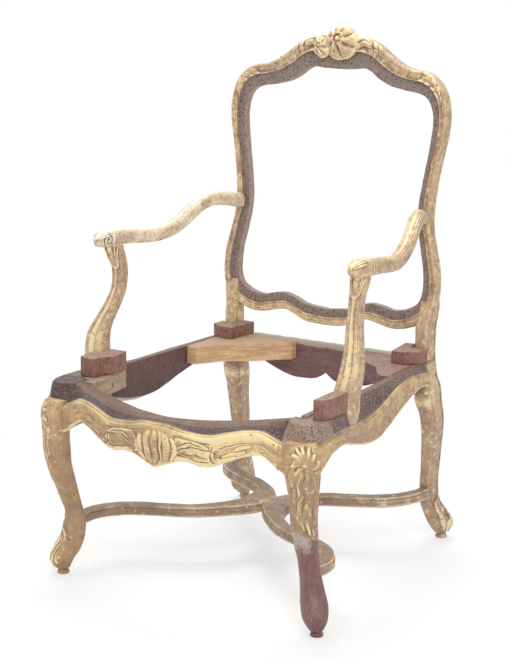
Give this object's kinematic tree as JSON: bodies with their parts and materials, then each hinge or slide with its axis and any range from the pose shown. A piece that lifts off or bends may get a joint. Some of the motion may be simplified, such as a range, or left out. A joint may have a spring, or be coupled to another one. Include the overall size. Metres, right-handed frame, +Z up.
{
  "type": "armchair frame",
  "caption": "Stripped giltwood armchair frame with a flat serpentine back, open arms, cabriole legs and a curved cross stretcher, ready for upholstery.",
  "frame": {"origin": "on the floor, at the middle of the part's width and depth", "axes": "+Z up, -Y towards the front of the chair, +X to the right as seen from the front"},
  "size_m": [0.6348, 0.708, 1.0637],
  "materials": {
    "giltwood": "worn water gilding over gesso, pale gold with tan wood and grey dirt in the hollows",
    "worn_gilt": "gilding worn down to dirty gesso and taupe wood",
    "bare_beech": "old bare wood, brown with dirt and dull",
    "splice_wood": "plain reddish wood, scraped and unfinished",
    "block_wood": "red-brown stained softwood, dull",
    "new_wood": "pale new wood, sawn and unfinished",
    "peg_wood": "riven oak pegs, end grain showing",
    "iron": "dull forged iron"
  },
  "bodies": {
    "root": {"crest_rail": "giltwood", "back_bottom_rail": "giltwood", "rear_leg_left": "giltwood", "rear_leg_right": "giltwood", "front_rail": "giltwood", "back_rail": "bare_beech", "side_rail_left": "giltwood", "side_rail_right": "giltwood", "front_leg_left": "giltwood", "front_leg_right": "giltwood", "leg_splice": "splice_wood", "splice_dowel": "peg_wood", "arm_left": "giltwood", "arm_right": "giltwood", "arm_support_left": "giltwood", "arm_support_right": "giltwood", "stretcher_left": "worn_gilt", "stretcher_right": "worn_gilt", "front_brace_left": "new_wood", "front_brace_right": "bare_beech", "rear_brace_left": "new_wood", "rear_brace_right": "bare_beech", "front_block_left": "block_wood", "front_block_right": "block_wood", "rear_block_left": "block_wood", "rear_block_right": "block_wood", "back_frame_pegs": "peg_wood", "seat_frame_pegs": "peg_wood", "arm_pegs": "peg_wood", "stretcher_pegs": "peg_wood", "support_screws": "iron", "brace_nails": "iron", "block_nails": "iron"}
  },
  "joints": []
}
